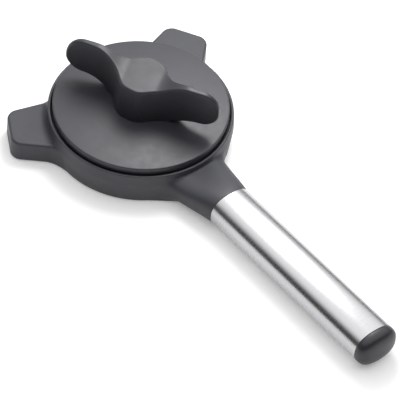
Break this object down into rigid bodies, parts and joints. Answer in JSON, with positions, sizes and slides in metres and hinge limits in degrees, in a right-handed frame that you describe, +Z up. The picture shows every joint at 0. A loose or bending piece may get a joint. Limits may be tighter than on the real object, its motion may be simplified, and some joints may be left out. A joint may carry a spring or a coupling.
{
  "type": "jar lid opener",
  "caption": "Hand-held jar-lid opener: a winged knob turns a dial whose scroll draws rubber-faced jaws inwards around a lid; steel tube handle.",
  "frame": {"origin": "on the dial's axis, at the base plane that the skirt and the handle rest on", "axes": "+X along the handle from the head, +Z up out of the dial, along the axis that the knob turns about; +Y completes a right-handed frame"},
  "size_m": [0.2354, 0.1236, 0.0498],
  "materials": {
    "body_plastic": "satin, fine moulded grain",
    "dial_plastic": "satin, fine moulded grain",
    "knob_plastic": "satin, soft grain",
    "core_plastic": "plain moulded",
    "scroll_plastic": "smooth, low friction",
    "brushed_tube": "brushed around the tube",
    "plate_steel": "pressed sheet, satin",
    "shoe_metal": "cast, bead-blasted",
    "fastener_steel": "bright zinc plated",
    "brass": "turned",
    "pad_rubber": "matt rubber"
  },
  "bodies": {
    "body": {"housing": "body_plastic", "guide_plate": "plate_steel", "guide_screws": "fastener_steel", "centre_bush": "brass", "neck_insert": "brass", "handle_core": "core_plastic", "handle_tube": "brushed_tube", "handle_screw": "fastener_steel", "end_cap": "body_plastic"},
    "dial": {"dial_plate": "dial_plastic", "turn_knob": "knob_plastic", "knob_screws": "fastener_steel", "scroll_plate": "scroll_plastic", "scroll_screws": "fastener_steel", "spindle": "fastener_steel", "spindle_washer": "fastener_steel", "spindle_clip": "fastener_steel"},
    "jaw_1": {"jaw_slide_1": "plate_steel", "jaw_shoe_1": "shoe_metal", "shoe_rivets_1": "fastener_steel", "scroll_pin_1": "fastener_steel", "jaw_pad_1": "pad_rubber"},
    "jaw_2": {"jaw_slide_2": "plate_steel", "jaw_shoe_2": "shoe_metal", "shoe_rivets_2": "fastener_steel", "scroll_pin_2": "fastener_steel", "jaw_pad_2": "pad_rubber"},
    "jaw_3": {"jaw_slide_3": "plate_steel", "jaw_shoe_3": "shoe_metal", "shoe_rivets_3": "fastener_steel", "scroll_pin_3": "fastener_steel", "jaw_pad_3": "pad_rubber"}
  },
  "joints": [
    {"name": "knob_turn", "type": "hinge", "parent": "body", "child": "dial", "pos_m": [0, 0, 0.0216], "axis": [0, 0, -1], "range_deg": [0, 1080]},
    {"name": "jaw_1_slide", "type": "slide", "parent": "body", "child": "jaw_1", "axis": [-1, 0, 0], "range_m": [0, 0.0255]},
    {"name": "jaw_2_slide", "type": "slide", "parent": "body", "child": "jaw_2", "axis": [0.5, -0.866, 0], "range_m": [0, 0.0255]},
    {"name": "jaw_3_slide", "type": "slide", "parent": "body", "child": "jaw_3", "axis": [0.5, 0.866, 0], "range_m": [0, 0.0255]}
  ],
  "couplings": [
    {"joint": "jaw_1_slide", "follows": "knob_turn", "m_per_rad": 0.0013528},
    {"joint": "jaw_2_slide", "follows": "knob_turn", "m_per_rad": 0.0013528},
    {"joint": "jaw_3_slide", "follows": "knob_turn", "m_per_rad": 0.0013528}
  ]
}
